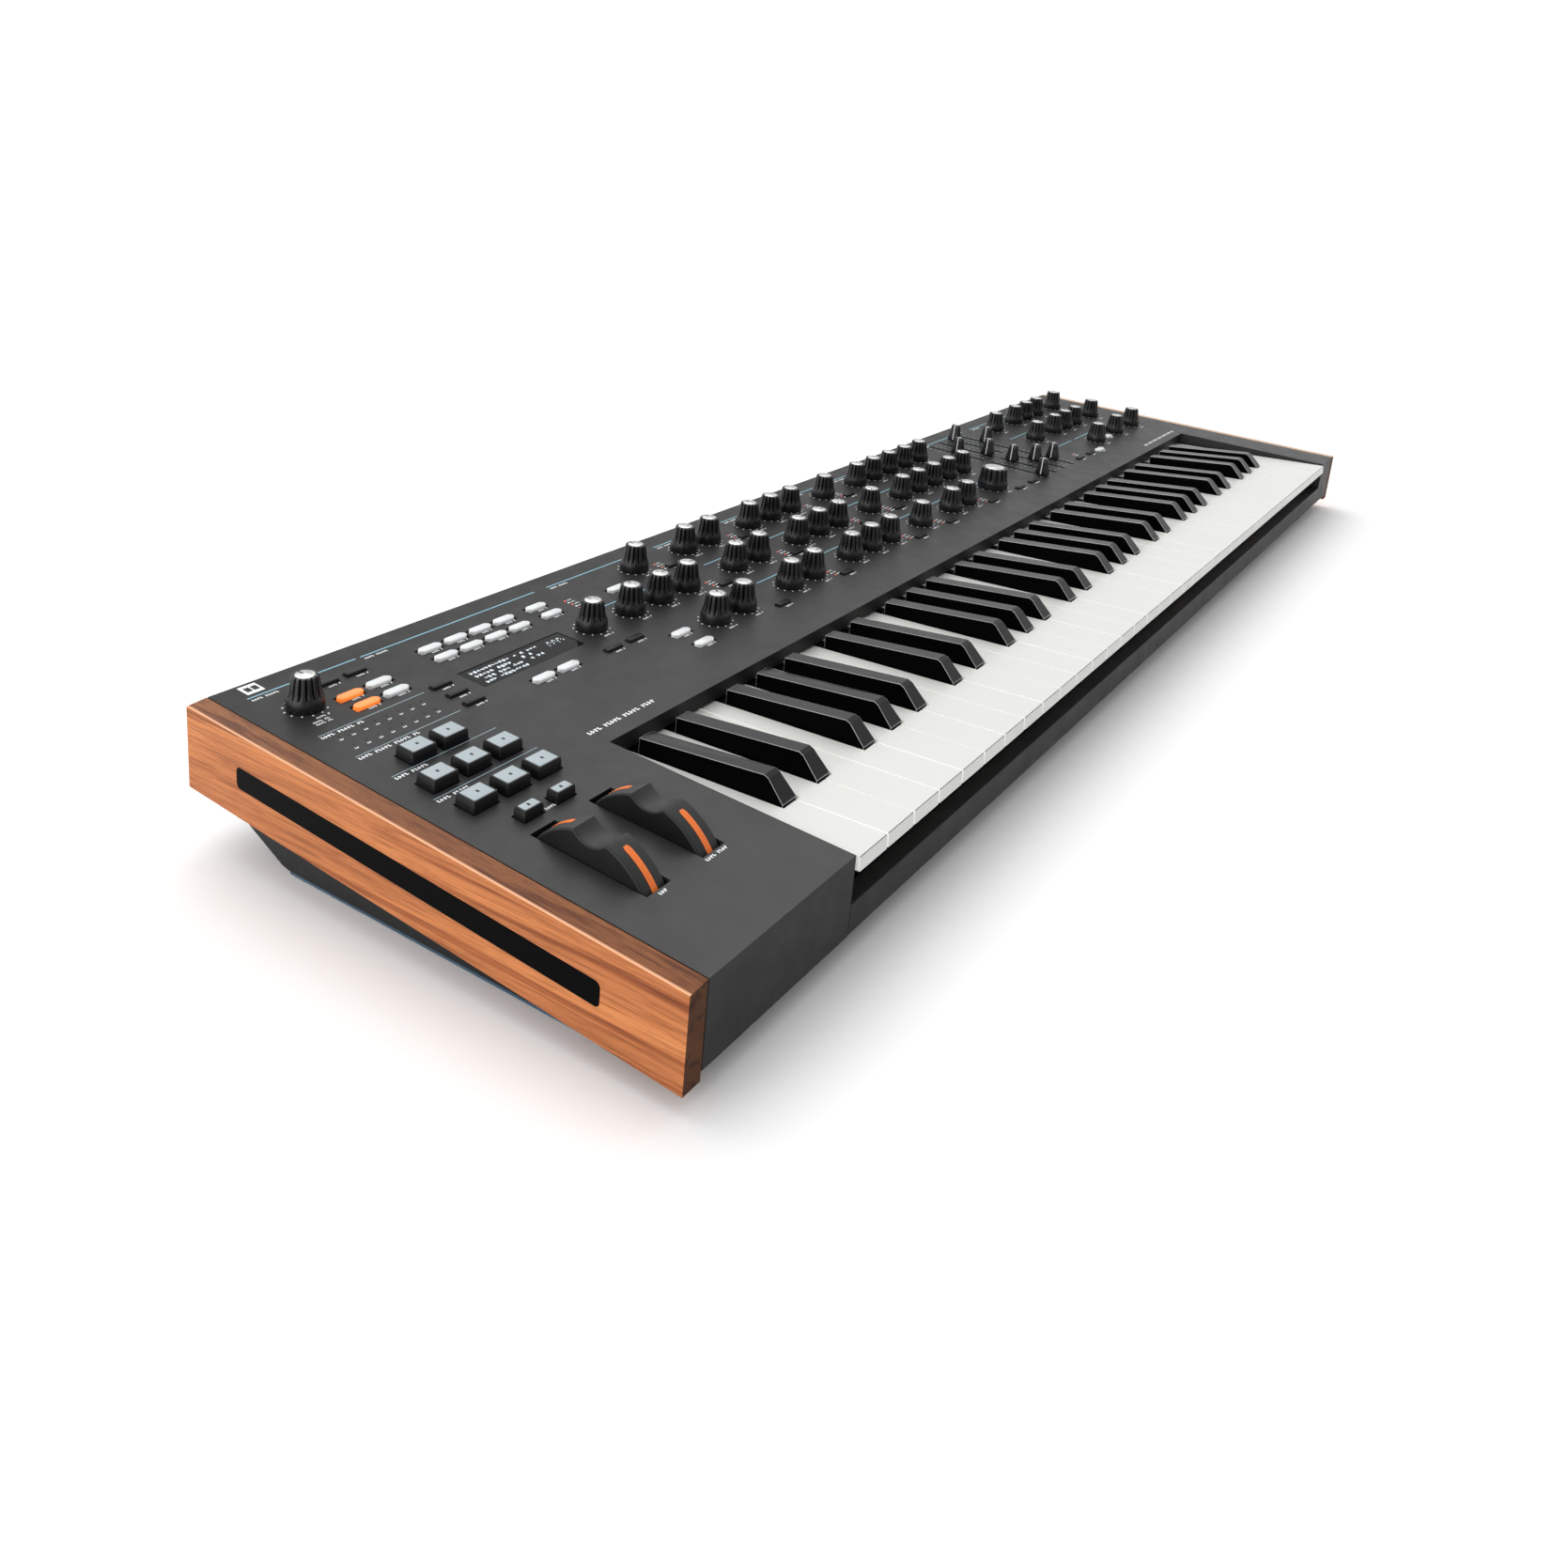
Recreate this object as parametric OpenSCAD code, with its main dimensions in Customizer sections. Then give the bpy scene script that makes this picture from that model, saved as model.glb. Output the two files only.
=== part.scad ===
/* [Body] */
// Overall width across both wooden cheeks, mm
body_w = 1010; // [1008:1:1014]
// Depth of the top panel from front edge to rear edge, mm
panel_d = 303; // [300:1:306]
// Slope of the top panel, degrees
tilt = 4; // [3.9:0.1:4.1]
// Height of the panel's front edge above the table, mm
lift = 52.07; // [52:0.01:53]
// Thickness of each wooden cheek, mm
cheek_t = 10.2; // [9.6:0.1:10.4]
// Height of each wooden cheek, mm
cheek_h = 42.1; // [40:0.1:43]
// Thickness of the sheet steel, mm
sheet_t = 1.6; // [1.4:0.1:1.6]

/* [Keyboard] */
// Distance from one white key to the next, mm
key_pitch = 23.6; // [23.4:0.05:23.65]
// Number of full octaves below the last C
octaves = 5; // [5]
// Left edge of the keyboard opening, mm from the left side
open_x0 = 110.1; // [109:0.1:110.1]
// Right edge of the keyboard opening, mm from the left side
open_x1 = 963.2; // [963.2:0.1:964]
// Depth of the keyboard opening, mm
open_d = 136.3; // [136:0.1:138]
// Height of the white keys' tops above the table, mm
key_top = 51.4; // [51:0.1:51.6]
// Depth of a white key's front lip, mm
key_lip = 7; // [6.5:0.1:7.5]
// Height of a black key above the white ones, mm
black_h = 11.4; // [11:0.1:11.6]
// Width of a black key at its foot, mm
black_w = 11; // [10.6:0.1:11.2]

/* [Controls] */
// Distance between neighbouring knobs in a row, mm
knob_pitch = 26; // [25.8:0.1:26.1]
// Skirt radius of a small knob, mm
knob_r = 9.1; // [8.8:0.1:9.2]
// Height of a knob, mm
knob_h = 16.8; // [16.4:0.1:17.2]
// Skirt radius of the large knob, mm
big_knob_r = 12.2; // [11.8:0.1:12.4]
// Press travel of a button, mm
press = 0.8; // [0.6:0.1:0.8]
// Gap around a button in the panel, mm
button_gap = 0.4; // [0.3:0.05:0.5]
// Length of a fader slot, mm
slot_len = 54; // [52:0.5:54]
// Radius of the pitch and modulation wheels, mm
wheel_r = 36.5; // [36:0.1:36.6]

/* [Hidden] */
$fn = 48;
e = 0.02;                                   // overlap that makes a cut clean
floor_z = 3.6;                              // inside of the chassis floor, table-frame Z
y_mid = 152;                                // table-frame Y of the box's middle
cheek_gap = 0.6;
in_x0 = cheek_t + cheek_gap;                // inner faces of the metal body
in_x1 = body_w - cheek_t - cheek_gap;
front_h = 39;                               // height of the folded front face
rear_h = 43;                                // height of the rear wall
plate_z = 0.7;                              // underside of the blue base plate
plate_t = 1.5;
side_h = 30.8;                              // depth of the walls beside the keyboard opening
lip_h = 9;                                  // depth of the folded lip behind the keys
foot_y = [61.4, 95.9];                      // front feet, front and rear ends
rear_foot_y = [172, 245.2];
key_gap = 0.8;
key_x0 = 110.9;                             // left edge of the first white key
key_front = -1.5;
pivot = [176, key_top - 4];                 // key hinge line, table-frame Y and Z
pivot_r = 2;
tail_end = 182;
black_front = 47.4;
black_back = 131.5;
black_rear_h = 7.3;                         // a black key's top drops towards the rear
black_shift = -1.4;                         // the black keys sit a little left of the even places
cut_front = 46.2;                           // where a white key narrows beside a black one
cut_w = 13;
board_z = -9.8;                             // underside of the control board
board_t = 1.6;

// ---- frames: one lies on the table, one on the sloping panel; both start at the left front corner
module on_table() { translate([-body_w / 2, -y_mid, 0]) children(); }
module on_panel() { on_table() translate([0, 0, lift]) rotate([tilt, 0, 0]) children(); }

// ---- control places, in the panel frame
function row(x, n, y) = [for (i = [0:n - 1]) [x + i * knob_pitch, y]];
row_a_y = 272;
row_b_y = 230;
row_c_y = 187;
cutoff_at = [637, 190];
volume_at = [36, 263];
data_at = [199, 230];
resonance_at = [582, row_c_y];
tempo_at = [232, row_b_y];
mix_at = [506, row_a_y];
level_at = [953, row_a_y];
solo = [resonance_at, tempo_at, mix_at, level_at];
small_knobs = concat(
    row(284, 1, row_a_y), row(334, 2, row_a_y), row(407, 3, row_a_y), row(506, 1, row_a_y),
    row(554, 5, row_a_y), row(813, 1, row_a_y), row(857, 3, row_a_y), row(953, 1, row_a_y),
    row(232, 3, row_b_y), row(334, 2, row_b_y), row(407, 3, row_b_y), row(506, 1, row_b_y),
    row(554, 5, row_b_y), row(815, 1, row_b_y), row(857, 3, row_b_y), row(953, 1, row_b_y),
    row(258, 2, row_c_y), row(335, 2, row_c_y), row(408, 3, row_c_y), row(508, 1, row_c_y),
    row(556, 2, row_c_y), row(861, 1, row_c_y), row(910, 1, row_c_y), row(954, 1, row_c_y));
function is_solo(p) = len([for (s = solo) if (norm(s - p) < 1) 1]) > 0;
fixed_knobs = [for (p = small_knobs) if (!is_solo(p)) p];
all_knobs = concat(small_knobs, [cutoff_at, volume_at, data_at]);

fader_x = [for (i = [0:3]) 704 + i * 19];
slot_y = [230, 169.5];                      // front ends of the rear and front fader slots
fader_rest = [256, 236, 279, 256, 175, 212, 198.5, 190];

pad_size = [14.4, 12.4];
pad_at = concat([[42, 191], [60.5, 191]], [for (y = [166.5, 142]) for (x = [33, 52, 71]) [x, y]]);
octave_size = [11.6, 7.6];
octave_at = [[41.6, 120], [60.8, 120]];
pill_size = [14.8, 5.9];
white_at = concat([for (y = [271, 258.3]) for (i = [0:3]) [118 + i * 17.6, y]],
                  [[196, 271], [196, 258.3], [135.7, 204.6], [153.8, 204.6], [229, 189.4], [229, 172.7],
                   [75, 258.6], [75, 245.4], [251, 257.7], [829, 171], [884, 184]]);
orange_at = [[57, 257.3], [57, 244.7]];
black_size = [11.8, 4.2];
black_at = concat([[57.6, 276], [74.2, 276]], [for (y = [235, 223, 211]) [94.2, y]], [[187, 203], [205, 203]],
                  [for (x = [307, 386, 524]) [x, 259.5]], [for (x = [307, 387, 478, 528]) [x, 216.5]],
                  [for (x = [307, 381, 482, 530, 602, 654, 679, 785, 809]) [x, 172.8]]);
display = [[108, 218], [181, 239]];
wheel_x = [38.6, 73.4];
wheel_y = 77.6;
wheel_w = 13.4;
wheel_z = -23.2;
slot_half = 31.4;                           // half length of a wheel's slot

jack_x = [for (i = [0:5]) 700 + i * 32];
jack_z = -24;
midi_x = [600, 628, 656];
usb_x = 560;
inlet_x = 940;
rocker_x = 975;

// ---- shapes used by more than one sub-part
module rounded_rect(w, d, r) {
    square([w - 2 * r, d], center = true);
    square([w, d - 2 * r], center = true);
    for (sx = [-1, 1]) for (sy = [-1, 1]) translate([sx * (w / 2 - r), sy * (d / 2 - r)]) circle(r);
}
module side_profile(points, x0, x1) {
    translate([x0, 0, 0]) rotate([90, 0, 90]) linear_extrude(x1 - x0) polygon(points);
}
module at(points, z = 0) { for (p = points) translate([p[0], p[1], z]) children(); }

// ---- casework
tray_out = [[1.8, -30], [1.8, -39.6], [57.6, -54], [62, -54.3], [241, -66.8], [246, -66.2], [301.2, -43.6],
            [301.2, -36]];
tray_in = [[3.1, -29], [3.1, -38.6], [57.8, -52.7], [62, -53.1], [241, -65.5], [245.7, -65], [300, -42.8],
           [300, -35]];
module lower_chassis() {
    color("#161719") on_panel() difference() {
        side_profile(tray_out, in_x0, in_x1);
        side_profile(concat(tray_in, [[150, -20]]), in_x0 + sheet_t, in_x1 - sheet_t);
        translate([open_x0 - 3, 0, -31]) cube([open_x1 - open_x0 + 6, 5, 8]);
        for (x = rear_screw_x) rear_hole(x, rear_screw_z, 1.7);
        rotate([-tilt, 0, 0]) translate([0, 0, -lift]) at(plate_screws) cylinder(r = 1.7, h = 6);
    }
}
module base_plate() {
    color("#3f6585") on_table() difference() {
        translate([in_x0 + 0.3, foot_y[0], plate_z])
            cube([in_x1 - in_x0 - 0.6, rear_foot_y[1] - foot_y[0], plate_t]);
        at(plate_screws, plate_z - 1) cylinder(r = 1.7, h = 4);
    }
}
module top_panel() {
    color("#454545") on_panel() difference() {
        union() {
            translate([in_x0, 0, -sheet_t]) cube([in_x1 - in_x0, panel_d, sheet_t]);
            translate([in_x0, 0, -front_h]) cube([open_x0 - in_x0, sheet_t, front_h]);
            translate([open_x1, 0, -front_h]) cube([in_x1 - open_x1, sheet_t, front_h]);
            for (x = [open_x0 - sheet_t, open_x1]) translate([x, 0, -side_h]) cube([sheet_t, open_d, side_h]);
            translate([open_x0 - sheet_t, open_d, -lip_h]) cube([open_x1 - open_x0 + 2 * sheet_t, 1.2, lip_h]);
            translate([in_x0, panel_d - sheet_t, -rear_h]) cube([in_x1 - in_x0, sheet_t, rear_h]);
        }
        translate([open_x0, -e, -front_h - 1]) cube([open_x1 - open_x0, open_d, front_h + 2]);
        at(all_knobs, -3) cylinder(r = 3.6, h = 6, $fn = 24);
        for (x = fader_x) for (y = slot_y) translate([x - 1.5, y, -3]) cube([3, slot_len, 6]);
        for (x = wheel_x) translate([x - wheel_w / 2 - 0.6, wheel_y - slot_half, -3])
            cube([wheel_w + 1.2, 2 * slot_half, 6]);
        button_cut(pad_at, pad_size);
        button_cut(octave_at, octave_size);
        button_cut(concat(white_at, orange_at), pill_size);
        button_cut(black_at, black_size);
        translate([display[0][0], display[0][1], -3])
            cube([display[1][0] - display[0][0], display[1][1] - display[0][1], 6]);
        rear_cuts();
    }
}
module button_cut(places, size) {
    at(places, -3) linear_extrude(6)
        square([size[0] + 2 * button_gap, size[1] + 2 * button_gap], center = true);
}
module rear_cuts() {
    for (x = jack_x) rear_hole(x, jack_z, 5.1);
    for (x = midi_x) rear_hole(x, jack_z, 8.6);
    rear_hole(inlet_x, jack_z, 5.1);
    translate([usb_x - 7, panel_d - 4, jack_z - 6.5]) cube([14, 6, 13]);
    translate([rocker_x - 10.3, panel_d - 4, jack_z - 7.3]) cube([20.6, 6, 14.6]);
    for (x = rear_screw_x) rear_hole(x, rear_screw_z, 1.7);
}
module rear_hole(x, z, r) { translate([x, panel_d + 2, z]) rotate([90, 0, 0]) cylinder(r = r, h = 6); }

cheek_z = -1 - cheek_h;                     // lower edge of the cheeks
inlay_at = [152.25, -22.2];                 // middle of the inlay strip, panel-frame Y and Z
inlay_size = [223.5, 11];
inlay_t = 1;
module inlay_shape(grow = 0) {
    translate(inlay_at) rounded_rect(inlay_size[0] + 2 * grow, inlay_size[1] + 2 * grow, 2.6 + grow);
}
module cheek() {
    difference() {
        translate([0, panel_d, 0]) rotate([90, 0, 0]) linear_extrude(panel_d)
            polygon([[0, cheek_z], [cheek_t, cheek_z], [cheek_t, 0], [0, -0.8]]);
        translate([-e, 0, 0]) rotate([90, 0, 90]) linear_extrude(inlay_t + e) inlay_shape(0.1);
    }
}
module inlay() { rotate([90, 0, 90]) linear_extrude(inlay_t) inlay_shape(); }
module left_cheek() { color("#8a4a1f") on_panel() cheek(); }
module right_cheek() { color("#8a4a1f") on_panel() translate([body_w, 0, 0]) mirror([1, 0, 0]) cheek(); }
module cheek_inlays() {
    color("#0d0d0e") on_panel() {
        inlay();
        translate([body_w, 0, 0]) mirror([1, 0, 0]) inlay();
    }
}
foot_w = 60;
foot_inset = 1.5;
module feet() {
    color("#2f5571") on_table() for (x = [in_x0 + foot_inset, in_x1 - foot_inset - foot_w]) {
        foot(x, foot_y);
        foot(x, rear_foot_y);
    }
}
module foot(x, y) {
    translate([x + foot_w / 2, (y[0] + y[1]) / 2, 0]) linear_extrude(plate_z)
        rounded_rect(foot_w, y[1] - y[0], 4);
}
plate_screws = [for (x = [90, 300, 505, 710, 920]) for (y = [110, 240]) [x, y]];
rear_screw_x = [60, 200, 340, 480, 530, 680, 915, 990];
rear_screw_z = -38;
module screws() {
    color("#9a9a9a") {
        on_table() at(plate_screws) union() {
            translate([0, 0, 0.05]) cylinder(r = 2.8, h = 0.6);
            cylinder(r = 1.5, h = 3.4);
        }
        on_panel() for (x = rear_screw_x) translate([x, panel_d, rear_screw_z]) rotate([-90, 0, 0]) union() {
            cylinder(r = 2.6, h = 1.2);
            translate([0, 0, -5]) cylinder(r = 1.5, h = 6);
        }
    }
}

// ---- keyboard
module key_slip() {
    color("#454545") on_panel() {
        translate([open_x0 + 0.3, 0, -front_h]) cube([open_x1 - open_x0 - 0.6, sheet_t, front_h - 23.9]);
        translate([open_x0 + 0.3, 0, -25.4]) cube([open_x1 - open_x0 - 0.6, 9, 1.5]);
    }
}
frame_x = [open_x0 + 0.5, open_x1 - 0.5];
frame_end = 185;                            // rear edge of the keybed frame
fin_t = 0.4;                                // fins between two keys that hold the hinge rod
frame_z = 20;
frame_t = 1.2;
stop_z = 32.5;                              // top of the channel that carries the felt
strip_z = 35.6;                             // top of the channel that carries the contact strip
module keybed_frame() {
    color("#8d9094") on_table() difference() {
        union() {
            translate([frame_x[0], 13, frame_z]) cube([frame_x[1] - frame_x[0], frame_end - 13, frame_t]);
            translate([frame_x[0] - 4, open_d + 4, frame_z])
                cube([frame_x[1] - frame_x[0] + 8, frame_end - open_d - 4, frame_t]);
            channel(14, 10, stop_z);
            channel(96, 16, strip_z);
            for (i = [1:octaves]) rod_fin(key_x0 + i * octave_w - (key_gap + fin_t) / 2, fin_t);
            rod_fin(key_x0 - 3, 2.6);
            rod_fin(key_x0 + octaves * octave_w + key_pitch - key_gap + fin_t, 2.6);
            for (x = [140, 360, 580, 800, 930]) for (y = [70, 160])
                translate([x, y, floor_z]) cylinder(r = 4, h = frame_z - floor_z + e);
        }
        rod(pivot_r);
    }
}
module channel(y, depth, top) {
    translate([frame_x[0], y, frame_z + frame_t - e]) difference() {
        cube([frame_x[1] - frame_x[0], depth, top - frame_z - frame_t + e]);
        translate([-e, frame_t, -e])
            cube([frame_x[1] - frame_x[0] + 2 * e, depth - 2 * frame_t, top - frame_z - 2 * frame_t + e]);
    }
}
module rod_fin(x, t) { translate([x, 168, frame_z]) cube([t, 14, pivot[1] + 4 - frame_z]); }
module rod(r) {
    translate([open_x0 - 1.3 + 0.6, pivot[0], pivot[1]]) rotate([0, 90, 0])
        cylinder(r = r, h = open_x1 - open_x0 + 1.4);
}
module key_pivot_rod() { color("#c4c6c8") on_table() rod(pivot_r); }
module contact_strip() {
    color("#3d5f47") on_table() translate([frame_x[0] + 4, 97, strip_z]) cube([frame_x[1] - frame_x[0] - 8, 14, 3]);
}
module key_felt() {
    color("#7a1f22") on_table() translate([frame_x[0], 14, stop_z]) cube([frame_x[1] - frame_x[0], 10, 1.6]);
}

// places of the five black keys in an octave: tails of the white keys beside them are equally wide
tail_3 = (3 * key_pitch - 2 * cut_w) / 3;
tail_4 = (4 * key_pitch - 3 * cut_w) / 4;
even_x = [tail_3 + cut_w / 2, 2 * tail_3 + 1.5 * cut_w,
          3 * key_pitch + tail_4 + cut_w / 2, 3 * key_pitch + 2 * tail_4 + 1.5 * cut_w,
          3 * key_pitch + 3 * tail_4 + 2.5 * cut_w];
black_x = [for (x = even_x) x + black_shift];
white_side = [[key_front, -key_lip], [key_front, -0.6], [key_front + 0.6, 0], [tail_end, 0],
              [tail_end, -key_lip]];
black_side = [[black_front + 1, -6], [black_front, 0.4], [black_front + 8.6, black_h - 1.2],
              [black_front + 11, black_h], [black_back, black_rear_h], [black_back, -1], [tail_end, -1],
              [tail_end, -key_lip], [black_front + 1, -key_lip]];
octave_w = 7 * key_pitch;
module key_octaves(count) {
    on_table() for (i = [0:count - 1]) translate([key_x0 + i * octave_w, 0, 0]) children();
}
module white_key(slot) {
    last = slot == 7;                       // the last C has no black key on its right
    x0 = (last ? 0 : slot) * key_pitch;
    color("#f2f2ee") difference() {
        translate([0, 0, key_top]) side_profile(white_side, x0, x0 + key_pitch - key_gap);
        if (!last) for (x = black_x) translate([x - cut_w / 2, cut_front, 0]) cube([cut_w, 200, 90]);
        pivot_bore();
    }
}
module black_key(index) {
    color("#111112") difference() {
        intersection() {
            translate([0, 0, key_top])
                side_profile(black_side, black_x[index] - black_w / 2, black_x[index] + black_w / 2);
            translate([black_x[index], 200, key_top]) rotate([90, 0, 0]) linear_extrude(200) polygon(
                [[-black_w / 2, -key_lip], [black_w / 2, -key_lip], [black_w / 2, 0], [4.4, black_h],
                 [-4.4, black_h], [-black_w / 2, 0]]);
        }
        pivot_bore();
    }
}
module pivot_bore() {
    translate([-5, pivot[0], pivot[1]]) rotate([0, 90, 0]) cylinder(r = pivot_r + 0.1, h = octave_w + 10);
}
module key_c() {
    key_octaves(octaves) white_key(0);
    on_table() translate([key_x0 + octaves * octave_w, 0, 0]) white_key(7);
}
module key_d() { key_octaves(octaves) white_key(1); }
module key_e() { key_octaves(octaves) white_key(2); }
module key_f() { key_octaves(octaves) white_key(3); }
module key_g() { key_octaves(octaves) white_key(4); }
module key_a() { key_octaves(octaves) white_key(5); }
module key_b() { key_octaves(octaves) white_key(6); }
module key_c_sharp() { key_octaves(octaves) black_key(0); }
module key_d_sharp() { key_octaves(octaves) black_key(1); }
module key_f_sharp() { key_octaves(octaves) black_key(2); }
module key_g_sharp() { key_octaves(octaves) black_key(3); }
module key_a_sharp() { key_octaves(octaves) black_key(4); }

// ---- wheels
hub_r = 9;
dip_r = 12.6;                               // finger dip in the top of each wheel
dip_depth = 4.8;
module wheel(x) {
    color("#1d1d1f") on_panel() translate([x - wheel_w / 2, wheel_y, wheel_z]) rotate([90, 0, 90])
        difference() {
            union() {
                cylinder(r = hub_r, h = wheel_w);
                linear_extrude(wheel_w) intersection() {
                    circle(wheel_r, $fn = 96);
                    translate([-wheel_r, -4]) square([2 * wheel_r, wheel_r + 5]);
                }
            }
            translate([0, 0, -1]) cylinder(r = 3.1, h = wheel_w + 2);
            translate([0, wheel_r + dip_r - dip_depth, -1]) cylinder(r = dip_r, h = wheel_w + 2);
        }
}
module pitch_wheel() { wheel(wheel_x[0]); }
module mod_wheel() { wheel(wheel_x[1]); }
bracket_z = -45.6;                          // top of the bracket's foot plate
module wheel_bracket() {
    color("#8d9094") on_panel() {
        for (x = [24, 54.3, 83.2]) difference() {
            translate([x, 48, bracket_z - e]) cube([3, 60, -bracket_z - sheet_t + e]);
            translate([x - 1, wheel_y, wheel_z]) rotate([0, 90, 0]) cylinder(r = 3, h = 5);
        }
        translate([24, 48, bracket_z - 2]) cube([62.2, 60, 2]);
        translate([24, wheel_y, wheel_z]) rotate([0, 90, 0]) cylinder(r = 3, h = 62.2);
    }
}

// ---- knobs, pots, faders
small_grip = 0.68;                          // radius of a knob's grip at the top, as a share of its skirt
big_grip = 0.85;
function knob_profile(r, t, h) =
    let (d = r - t)
    [[0, 0.3], [r - 0.2, 0.3], [r, 0.9], [r, 3], [r - 0.1 * d, 5], [r - 0.29 * d, 6.5], [r - 0.47 * d, 8],
     [r - 0.74 * d, 13], [t, h], [0.76 * t, h], [0.76 * t, h + 0.3], [0, h + 0.3]];
module knob(r, grip, h = knob_h) {
    difference() {
        rotate_extrude() polygon(knob_profile(r, r * grip, h));
        cylinder(r = 3.05, h = 11, $fn = 24);
        translate([-0.5, r * grip * 0.35, h - 0.4]) cube([1, r, 2]);
    }
}
module shaft() { translate([0, 0, -6]) cylinder(r = 3, h = 16.5, $fn = 24); }
module turning_knob(place, r = knob_r, grip = small_grip) {
    color("#232325") on_panel() at([place]) {
        knob(r, grip);
        shaft();
    }
}
module volume_knob() { turning_knob(volume_at); }
module data_knob() { turning_knob(data_at); }
module cutoff_knob() { turning_knob(cutoff_at, big_knob_r, big_grip); }
module resonance_knob() { turning_knob(resonance_at); }
module tempo_knob() { turning_knob(tempo_at); }
module mix_knob() { turning_knob(mix_at); }
module level_knob() { turning_knob(level_at); }
module panel_knobs() { color("#232325") on_panel() at(fixed_knobs) knob(knob_r, small_grip); }
module pots() {
    color("#6d7074") on_panel() {
        at(all_knobs) difference() {
            translate([-5, -5.2, -8]) cube([10, 10.4, 6]);
            translate([0, 0, -6.5]) cylinder(r = 3.1, h = 8, $fn = 24);
        }
        at(fixed_knobs) shaft();
    }
}
cap_size = [7.4, 11];
cap_h = 15;
module fader(i) {
    x = fader_x[i % 4];
    color("#19191b") on_panel() translate([x, fader_rest[i], 0]) union() {
        rotate([90, 0, 90]) translate([0, 0, -cap_size[0] / 2]) linear_extrude(cap_size[0]) polygon(
            [[-cap_size[1] / 2, 1], [cap_size[1] / 2, 1], [cap_size[1] / 2 - 0.5, 5], [3.4, cap_h],
             [0.8, cap_h - 1.4], [-0.8, cap_h - 1.4], [-3.4, cap_h], [-cap_size[1] / 2 + 0.5, 5]]);
        translate([-0.6, -2.5, -5]) cube([1.2, 5, 7]);
    }
}
module fader_1() { fader(0); }
module fader_2() { fader(1); }
module fader_3() { fader(2); }
module fader_4() { fader(3); }
module fader_5() { fader(4); }
module fader_6() { fader(5); }
module fader_7() { fader(6); }
module fader_8() { fader(7); }
module slide_pots() {
    color("#6d7074") on_panel() for (x = fader_x) for (y = slot_y) difference() {
        translate([x - 4.5, y - 2.5, -8]) cube([9, slot_len + 5, 6.2]);
        translate([x - 1.5, y, -6.5]) cube([3, slot_len, 6]);
    }
}

// ---- buttons
module press_block(size, z0, z1, r) {
    translate([0, 0, z0]) linear_extrude(z1 - z0) rounded_rect(size[0], size[1], r);
}
pad_top = 5.8;
octave_top = 5;
button_top = 1.4;
module pads() {
    color("#b8c4cc") on_panel() {
        at(pad_at) press_block(pad_size, -5, pad_top, 1.2);
        at(octave_at) press_block(octave_size, -5, octave_top, 1);
    }
}
module pill() { press_block(pill_size, -5, button_top, 2.3); }
module white_buttons() { color("#f4f6f8") on_panel() at(white_at) pill(); }
module orange_buttons() { color("#ff8a2a") on_panel() at(orange_at) pill(); }
module black_buttons() { color("#1a1a1c") on_panel() at(black_at) press_block(black_size, -5, button_top, 0.9); }

// ---- electronics
module control_board() {
    color("#24563a") on_panel() {
        translate([14, 114, board_z]) cube([92, 184, board_t]);
        translate([100, 142, board_z]) cube([896, 156, board_t]);
        at(concat(pad_at, octave_at, white_at, orange_at, black_at), board_z + board_t - e)
            translate([-3, -3, 0]) cube([6, 6, 2]);
    }
}
module main_board() {
    color("#24563a") on_table() {
        translate([560, 190, 12]) cube([340, 58, 1.6]);
        for (x = [600, 660, 720, 790, 850]) translate([x, 208, 13.6 - e]) cube([22, 22, 2.4]);
        for (x = [566, 894]) for (y = [196, 240]) translate([x, y, floor_z]) cylinder(r = 3, h = 8 + e);
    }
}
module power_supply() {
    color("#9a9c9f") on_table() {
        translate([915, 190, floor_z]) cube([72, 50, 26]);
        translate([921, 196, floor_z + 26 - e]) cube([60, 38, 1.5]);
    }
}
module display_window() {
    color("#10212c") on_panel() translate([display[0][0] + 0.2, display[0][1] + 0.2, -1.5])
        cube([display[1][0] - display[0][0] - 0.4, display[1][1] - display[0][1] - 0.4, 1.2]);
}
module display_module() {
    color("#2b3a44") on_panel() translate([display[0][0] - 2, display[0][1] - 5, -8])
        cube([display[1][0] - display[0][0] + 4, display[1][1] - display[0][1] + 10, 6.2]);
}

// ---- rear connectors: all point out of the rear wall
module out_of_rear(x) { translate([x, panel_d, jack_z]) rotate([-90, 0, 0]) children(); }
jack_r = 3.2;
jack_len = 20;
module audio_jacks() {
    color("#202124") on_panel() for (x = jack_x) out_of_rear(x) difference() {
        union() {
            translate([0, 0, -jack_len]) cylinder(r = 5, h = jack_len + 1.4);
            cylinder(r = 7, h = 1.2, $fn = 6);
            translate([-8, -8, -jack_len]) cube([16, 16, jack_len - 2]);
        }
        translate([0, 0, 1.4 - jack_len]) cylinder(r = jack_r, h = jack_len + 1);
    }
}
module midi_sockets() {
    color("#202124") on_panel() for (x = midi_x) out_of_rear(x) difference() {
        union() {
            translate([0, 0, -12]) cylinder(r = 8.5, h = 12.8);
            translate([-9.5, -9.5, -14]) cube([19, 19, 11.8]);
        }
        for (a = [0, 45, 90, 135, 180]) rotate(a) translate([5, 0, -6]) cylinder(r = 0.8, h = 8, $fn = 16);
    }
}
module usb_socket() {
    color("#b9bcc0") on_panel() out_of_rear(usb_x) difference() {
        translate([-6.5, -6, -16]) cube([13, 12, 16.6]);
        translate([-5, -4.5, -13]) cube([10, 9, 14]);
    }
}
inlet_r = 2.9;
module power_inlet() {
    color("#202124") on_panel() out_of_rear(inlet_x) difference() {
        union() {
            translate([0, 0, -12]) cylinder(r = 5, h = 12.8);
            translate([-6, -6, -14]) cube([12, 12, 11.8]);
        }
        translate([0, 0, -9]) cylinder(r = inlet_r, h = 12);
    }
    switch_housing();
}
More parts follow.
